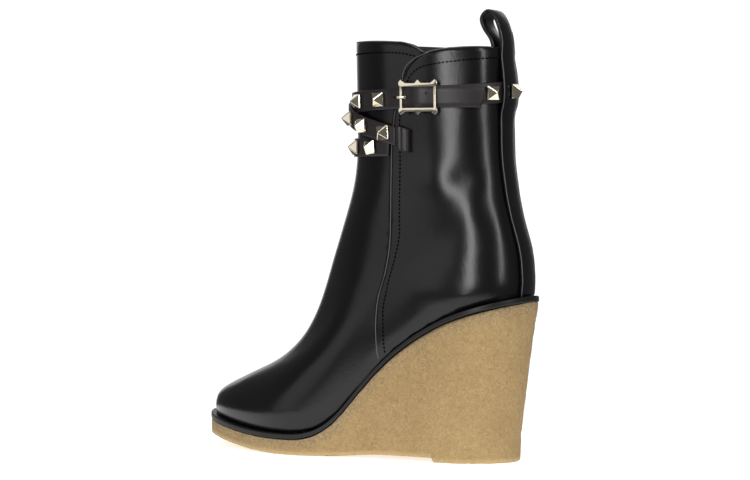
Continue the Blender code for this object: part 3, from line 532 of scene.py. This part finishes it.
# Rear panel's edge, from the pull strip round the collar and down the overlap to the midsole
PANEL_EDGE = (
    (-0.0089, 0.0129, 0.2476), (-0.0034, 0.0205, 0.2475), (0.0060, 0.0276, 0.2473),
    (0.0125, 0.0312, 0.2466), (0.0194, 0.0337, 0.2455), (0.0252, 0.0348, 0.2439),
    (0.0330, 0.0349, 0.2402), (0.0398, 0.0345, 0.2335), (0.0450, 0.0336, 0.2142),
    (0.0484, 0.0325, 0.1934), (0.0488, 0.0322, 0.1754), (0.0487, 0.0328, 0.1585),
    (0.0485, 0.0332, 0.1439), (0.0488, 0.0337, 0.1282), (0.0512, 0.0341, 0.1134),
    (0.0549, 0.0347, 0.1010), (0.0566, 0.0349, 0.0908), (0.0572, 0.0351, 0.0803),
    (0.0569, 0.0348, 0.0718), (0.0562, 0.0332, 0.0606),
)
# Front panel's edge, from the notch round the front of the collar
FRONT_EDGE = (
    (0.0272, 0.0338, 0.2447), (0.0391, 0.0340, 0.2502), (0.0461, 0.0340, 0.2509),
    (0.0529, 0.0335, 0.2513), (0.0595, 0.0322, 0.2516), (0.0656, 0.0296, 0.2519),
    (0.0736, 0.0245, 0.2521), (0.0803, 0.0185, 0.2523), (0.0836, 0.0143, 0.2524),
    (0.0862, 0.0070, 0.2525), (0.0870, 0.0000, 0.2525),
)
panel_cords = [
    snapped(smooth_line(row, steps=6), skin, CORD_LIFT)
    for row in both_sides(PANEL_EDGE) + both_sides(FRONT_EDGE)
]
place_piece(edge_cord("panel_edges", panel_cords))

# Midsole: thin layer of black rubber between the upper and the crepe, cut with a small welt edge
# and ground, which leaves a fine, half matt grain
rubber = grained(
    "black_midsole_rubber", "101012", 0.4, 600.0, 0.00005, {"Specular IOR Level": 0.4},
)
midsole_mesh = quad_mesh("midsole")
crease_corners(midsole_mesh, 60, 0.7)
midsole = finished("midsole_edge", midsole_mesh, [rubber], levels=3, smooth=50)
place_piece(midsole, ["midsole"])


# Wedge: natural crepe rubber in one block, cut and sanded on its sides, so the milled sheet's
# fine wavy grain shows as mottling, and its lower edge is never quite straight.
def tinted(tree, under, colour, amount):
    """A colour laid over a painted one by an amount. Colours are sockets 6 and 7 of the node."""
    mix = node(
        tree, "ShaderNodeMix", {"data_type": "RGBA"}, {7: (*linear(colour), 1)},
        {0: amount, 6: under},
    )
    return mix.outputs[2]


def crepe_rubber():
    """Mottled crepe, dusty under the welt, with a pale band along the lower rim that is a painted
    highlight.

    The attributes below_welt and above_tread hold each point's distance in metres from the two.
    """
    material, tree, shader = plain_material(
        "natural_crepe_rubber", "a68f64", 0.75, {"Specular IOR Level": 0.3},
    )
    grain = object_noise(
        tree, {"Scale": 480.0, "Detail": 3.0, "Roughness": 0.6, "Distortion": 1.6},
    )
    cloud = object_noise(tree, {"Scale": 45.0, "Detail": 2.0, "Roughness": 0.5})
    blend = node(
        tree, "ShaderNodeMix", {"data_type": "FLOAT"}, {"Factor": 0.2}, {2: grain, 3: cloud},
    )
    tones = node(tree, "ShaderNodeValToRGB", None, None, {"Fac": blend.outputs[0]})
    for stop, place, colour in zip(tones.color_ramp.elements, (0.3, 0.7), ("89704a", "ad9366")):
        stop.position = place
        stop.color = (*linear(colour), 1)
    below_welt = node(tree, "ShaderNodeAttribute", {"attribute_name": "below_welt"})
    above_tread = node(tree, "ShaderNodeAttribute", {"attribute_name": "above_tread"})
    near_welt = ranged(tree, below_welt.outputs["Fac"], 0.0, 0.009, 0.8, 0.0)
    specks = ranged(tree, grain, 0.56, 0.42, 0.15, 1.0)
    dust = node(
        tree, "ShaderNodeMath", {"operation": "MULTIPLY"}, None, {0: near_welt, 1: specks},
    )
    # Pale band just above the tread: a painted highlight along the lower rim
    near_tread = ranged(tree, above_tread.outputs["Fac"], 0.0010, 0.0032, 0.55, 0.0)
    dusty = tinted(tree, tones.outputs["Color"], "6f655a", dust.outputs[0])
    pale_rim_highlight = tinted(tree, dusty, "c8ae80", near_tread)
    tree.links.new(pale_rim_highlight, shader.inputs["Base Color"])
    tree.links.new(relief(tree, grain, 0.6, 0.0008), shader.inputs["Normal"])
    return material


wedge_mesh = quad_mesh("wedge_sole", short=0.0012)
for edge in wedge_mesh.edges:
    edge.smooth = True
crease_corners(wedge_mesh, 50, 0.8)
wedge = finished("crepe_wedge", wedge_mesh, [crepe_rubber()], levels=3, smooth=50)

# Waves of the cut sides: height in metres, and waves a metre
SLOW_WAVE = (0.00035, 160)
FAST_WAVE = (0.0002, 420)
RIM_WAVE = (0.0018, 220)
RIM_DEPTH = 0.0012


def wave(place, size):
    """Height of a wave at a place."""
    height, rate = size
    return height * noise.noise(place * rate)


def crepe_wave(place, normal):
    """Slow unevenness of the cut sides; the treads and the seat stay flat."""
    if abs(normal.z) > 0.7:
        return 0.0
    return wave(place, SLOW_WAVE) + wave(place, FAST_WAVE)


reshape(wedge, crepe_wave)
# The lower rim is trimmed by hand, so it rises here and there.
for vert in wedge.data.vertices:
    if -0.9 < vert.normal.z < -0.2:
        vert.co.z += max(0, wave(vert.co, RIM_WAVE))
midsole_face = surface_of(midsole)
wedge_face = surface_of(wedge)
welt_gaps = []
tread_gaps = []
for vert in wedge.data.vertices:
    welt_gaps.append((midsole_face.find_nearest(vert.co)[0] - vert.co).length)
    inside = vert.co - vert.normal * RIM_DEPTH
    under = wedge_face.ray_cast(inside, Vector((0, 0, -1)))[0]
    tread_gaps.append((inside - under).length if under else 0.0)
for name, gaps in (("below_welt", welt_gaps), ("above_tread", tread_gaps)):
    wedge.data.attributes.new(name, "FLOAT", "POINT").data.foreach_set("value", gaps)
place_piece(wedge, ["wedge_sole"])

# Straps: belt, bands and pull loop, cut from the same calf leather, and punched holes along the
# belt.
BELT_HOLES = ((0.0443, 0.0374, 0.2170), (0.0315, 0.0385, 0.2190), (0.0226, 0.0381, 0.2192))
strap_leather = calf_leather("matt_black_calf", "241f21", 0.42, 0.00005)


def punch(surface, place, radius=0.0009, depth=0.0021):
    """A round cutter that stands on a surface and reaches to a depth under it."""
    spot, normal, _, _ = surface.find_nearest(Vector(place))
    bm = bmesh.new()
    seat = Matrix.Translation(spot) @ normal.to_track_quat("Z", "Y").to_matrix().to_4x4()
    bmesh.ops.create_cone(
        bm, cap_ends=True, segments=20, radius1=radius, radius2=radius, depth=2 * depth,
        matrix=seat,
    )
    mesh = bpy.data.meshes.new("punch")
    bm.to_mesh(mesh)
    bm.free()
    cutter = bpy.data.objects.new("punch", mesh)
    bpy.context.scene.collection.objects.link(cutter)
    return cutter


# The free end of the belt swells between the buckle's bars: height, middle and half width
SWELL_HEIGHT = 0.0014
SWELL_MIDDLE = 0.0285
SWELL_REACH = 0.0040


def buckle_swell(place, normal):
    """Swelling of the belt's outer face inside the buckle."""
    if place.y < 0.034 or normal.y < 0.3:
        return 0.0
    return SWELL_HEIGHT * math.exp(-((place.x - SWELL_MIDDLE) / SWELL_REACH) ** 2)


# The upper band's folded end slopes down to the rear by its slant, a share of the way
fold_places = [v.co.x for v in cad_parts["band_fold"].data.vertices]
FOLD_FRONT = max(fold_places)
FOLD_REAR = min(fold_places)
FOLD_SLANT = 0.28
ROLL_HEIGHT = 0.0007


def fold_rolls(place, normal):
    """Two rolls across the folded end, from its front edge (0) to its rear edge (1)."""
    if normal.y < 0.3:
        return 0.0
    share = (FOLD_FRONT - place.x) / (FOLD_FRONT - FOLD_REAR)
    return ROLL_HEIGHT * (
        math.exp(-((share - 0.24) / 0.15) ** 2) + 0.8 * math.exp(-((share - 0.58) / 0.11) ** 2)
        - 1.6 * math.exp(-((share - 1.0) / 0.16) ** 2) - 0.5
    )


for node_name, finish, levels, shape in (
    ("ankle_belt", strap_leather, 2, buckle_swell),
    ("lower_band", strap_leather, 2, None),
    ("cross_band", strap_leather, 2, None),
    ("band_fold", strap_leather, 4, fold_rolls),
    ("pull_loop", leather, 2, None),
):
    strap_mesh = quad_mesh(node_name)
    crease_corners(strap_mesh, 50, 0.7)
    cutters = []
    if node_name == "ankle_belt":
        face = BVHTree.FromBMesh(strap_mesh)
        cutters = [punch(face, place) for place in BELT_HOLES]
    strap = finished(
        node_name + "_leather", strap_mesh, [finish], levels=levels, smooth=50, cutters=cutters,
    )
    if shape:
        reshape(strap, shape)
    if node_name == "band_fold":
        for vert in strap.data.vertices:
            vert.co.z -= FOLD_SLANT * (FOLD_FRONT - vert.co.x)
    place_piece(strap, [node_name])
    if node_name == "pull_loop":
        strip_face = surface_of(strap)

# Pull strip's edge, from the heel up to the collar
STRIP_EDGE = (
    (-0.0274, 0.0090, 0.0993), (-0.0279, 0.0089, 0.1054), (-0.0279, 0.0089, 0.1109),
    (-0.0276, 0.0089, 0.1166), (-0.0268, 0.0089, 0.1231), (-0.0254, 0.0090, 0.1303),
    (-0.0229, 0.0090, 0.1377), (-0.0207, 0.0090, 0.1446), (-0.0188, 0.0090, 0.1520),
    (-0.0170, 0.0090, 0.1603), (-0.0157, 0.0091, 0.1685), (-0.0145, 0.0091, 0.1757),
    (-0.0138, 0.0091, 0.1821), (-0.0135, 0.0091, 0.1892), (-0.0132, 0.0091, 0.1969),
    (-0.0131, 0.0091, 0.2079), (-0.0152, 0.0098, 0.2149), (-0.0152, 0.0097, 0.2207),
    (-0.0151, 0.0097, 0.2281), (-0.0129, 0.0090, 0.2407), (-0.0129, 0.0090, 0.2457),
    (-0.0128, 0.0080, 0.2510), (-0.0115, 0.0080, 0.2577),
)
strip_cords = [
    snapped(smooth_line(row, steps=4), strip_face, CORD_LIFT) for row in both_sides(STRIP_EDGE)
]
place_piece(edge_cord("strip_edges", strip_cords, radius=0.0003))

# Zip: brass teeth on a black woven tape, down the inner side beside the rear panel's edge, with
# a row of stitches along the front panel's edge beside it.
tape_cloth, tape_tree, tape_shader = plain_material("black_woven_tape", "161617", 0.85)
where = node(tape_tree, "ShaderNodeTexCoord")
weave = node(
    tape_tree, "ShaderNodeTexWave", {"bands_direction": "Z"}, {"Scale": 400.0, "Distortion": 1.0},
    {"Vector": where.outputs["Object"]},
)
tape_tree.links.new(
    relief(tape_tree, weave.outputs["Fac"], 0.6, 0.0001), tape_shader.inputs["Normal"],
)
# Teeth of stamped brass, unevenly dulled by wear
brass = grained("antique_brass_teeth", "b5a684", 0.3, 500.0, 0.00002, {"Metallic": 1.0})

tape_mesh = quad_mesh("zip_chain")
corners = sorted((v.co.copy() for v in tape_mesh.verts), key=lambda place: place.z)
zip_line = [sum(corners[k:k + 4], Vector()) / 4 for k in range(0, len(corners) - 3, 4)]
crease_corners(tape_mesh, 50, 0.9)
tape = finished("zip_tape", tape_mesh, [tape_cloth], levels=2, smooth=50)
place_piece(tape, ["zip_chain"])
tape_face = surface_of(tape)


def beside(line, surface, gap):
    """The line moved sideways over the surface, to the front for a gap over 0."""
    moved = []
    for k, point in enumerate(line):
        run = line[min(k + 1, len(line) - 1)] - line[max(k - 1, 0)]
        normal = surface.find_nearest(point + Vector((0, -0.01, 0)))[1]
        moved.append(point + run.cross(normal).normalized() * gap)
    return moved


# Rows start a little off the inner side, so that they are laid on the outer face.
OFF_THE_FACE = Vector((0, -0.002, 0))
TOOTH_PITCH = 0.0021
TOOTH_ASIDE = 0.0008
SEAM_ASIDE = 0.0050
zip_line = smooth_line(zip_line)
tooth_rows = []
for aside in (TOOTH_ASIDE, -TOOTH_ASIDE):
    row = [point + OFF_THE_FACE for point in beside(zip_line, tape_face, aside)]
    if aside < 0:
        row[0] += Vector((0, 0, TOOTH_PITCH / 2))
    tooth_rows.append(snapped(row, tape_face, 0.0001))
teeth = sew("zip_teeth", tooth_rows, brass, TOOTH_PITCH, length=0.0012, thickness=0.0018)
place_piece(teeth)
# The seam leaves out both ends of the zip.
zip_row = [point + OFF_THE_FACE for point in beside(zip_line[8:-6], tape_face, SEAM_ASIDE)]
zip_stitches = sew("zip_stitches", [snapped(zip_row, skin, THREAD_LIFT)], thread_and_groove_shade)
place_piece(zip_stitches)

# Metal trim: cast studs, buckle and zip pull, plated pale gold and tumbled, so the polish is
# slightly uneven from place to place
gold = grained("pale_gold_plating", "f3e8d2", 0.13, 350.0, 0.00001, {"Metallic": 1.0})
EDGE_ROUNDING = 0.0004


def metal_mesh(names):
    """The meshes of CAD nodes in one, with the triangles of each flat face joined."""
    bm = bmesh.new()
    for name in names:
        bm.from_mesh(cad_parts[name].data)
    bmesh.ops.remove_doubles(bm, verts=bm.verts, dist=MERGE_GAP)
    bmesh.ops.dissolve_limit(bm, angle_limit=math.radians(2), verts=bm.verts, edges=bm.edges)
    return bm


stud_names = sorted(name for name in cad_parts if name.startswith("stud_"))
studs = finished("pyramid_studs", metal_mesh(stud_names), [gold], bevel=EDGE_ROUNDING, smooth=8)
place_piece(studs, stud_names)

for node_name, piece_name, body in (
    ("buckle_frame", "buckle_bars", "boot"), ("buckle_prong", "buckle_pin", "boot"),
    ("zip_slider", "zip_slider_body", "boot"), ("zip_pull", "zip_pull_ring", "pull_tab"),
):
    piece = finished(
        piece_name, metal_mesh([node_name]), [gold], bevel=EDGE_ROUNDING, bevel_steps=3, smooth=30,
    )
    place_piece(piece, [node_name], body)
